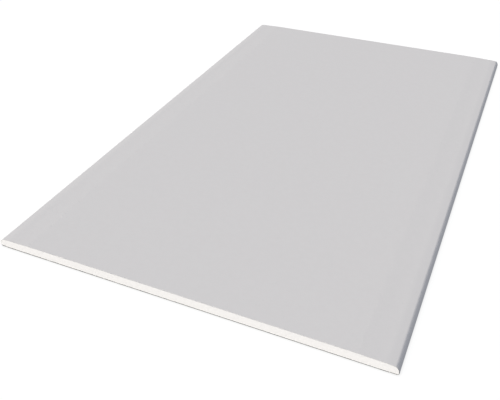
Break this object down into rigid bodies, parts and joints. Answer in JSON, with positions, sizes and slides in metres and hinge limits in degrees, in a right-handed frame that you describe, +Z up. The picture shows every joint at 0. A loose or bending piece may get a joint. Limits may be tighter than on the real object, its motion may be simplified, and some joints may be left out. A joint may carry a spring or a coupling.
{
  "type": "drywall sheet",
  "caption": "Flat rectangular gypsum board with papered faces, tapered and rounded long edges, and square-cut ends showing the white core.",
  "frame": {"origin": "on the floor under the middle of the sheet, which lies face up", "axes": "+X across the sheet, +Y along the sheet, +Z up out of its face"},
  "size_m": [0.6, 1, 0.015],
  "materials": {
    "gypsum": "matte",
    "face_paper": "matte",
    "back_paper": "matte"
  },
  "bodies": {
    "root": {"gypsum_core": "gypsum", "face_paper": "face_paper", "back_paper": "back_paper"}
  },
  "joints": []
}
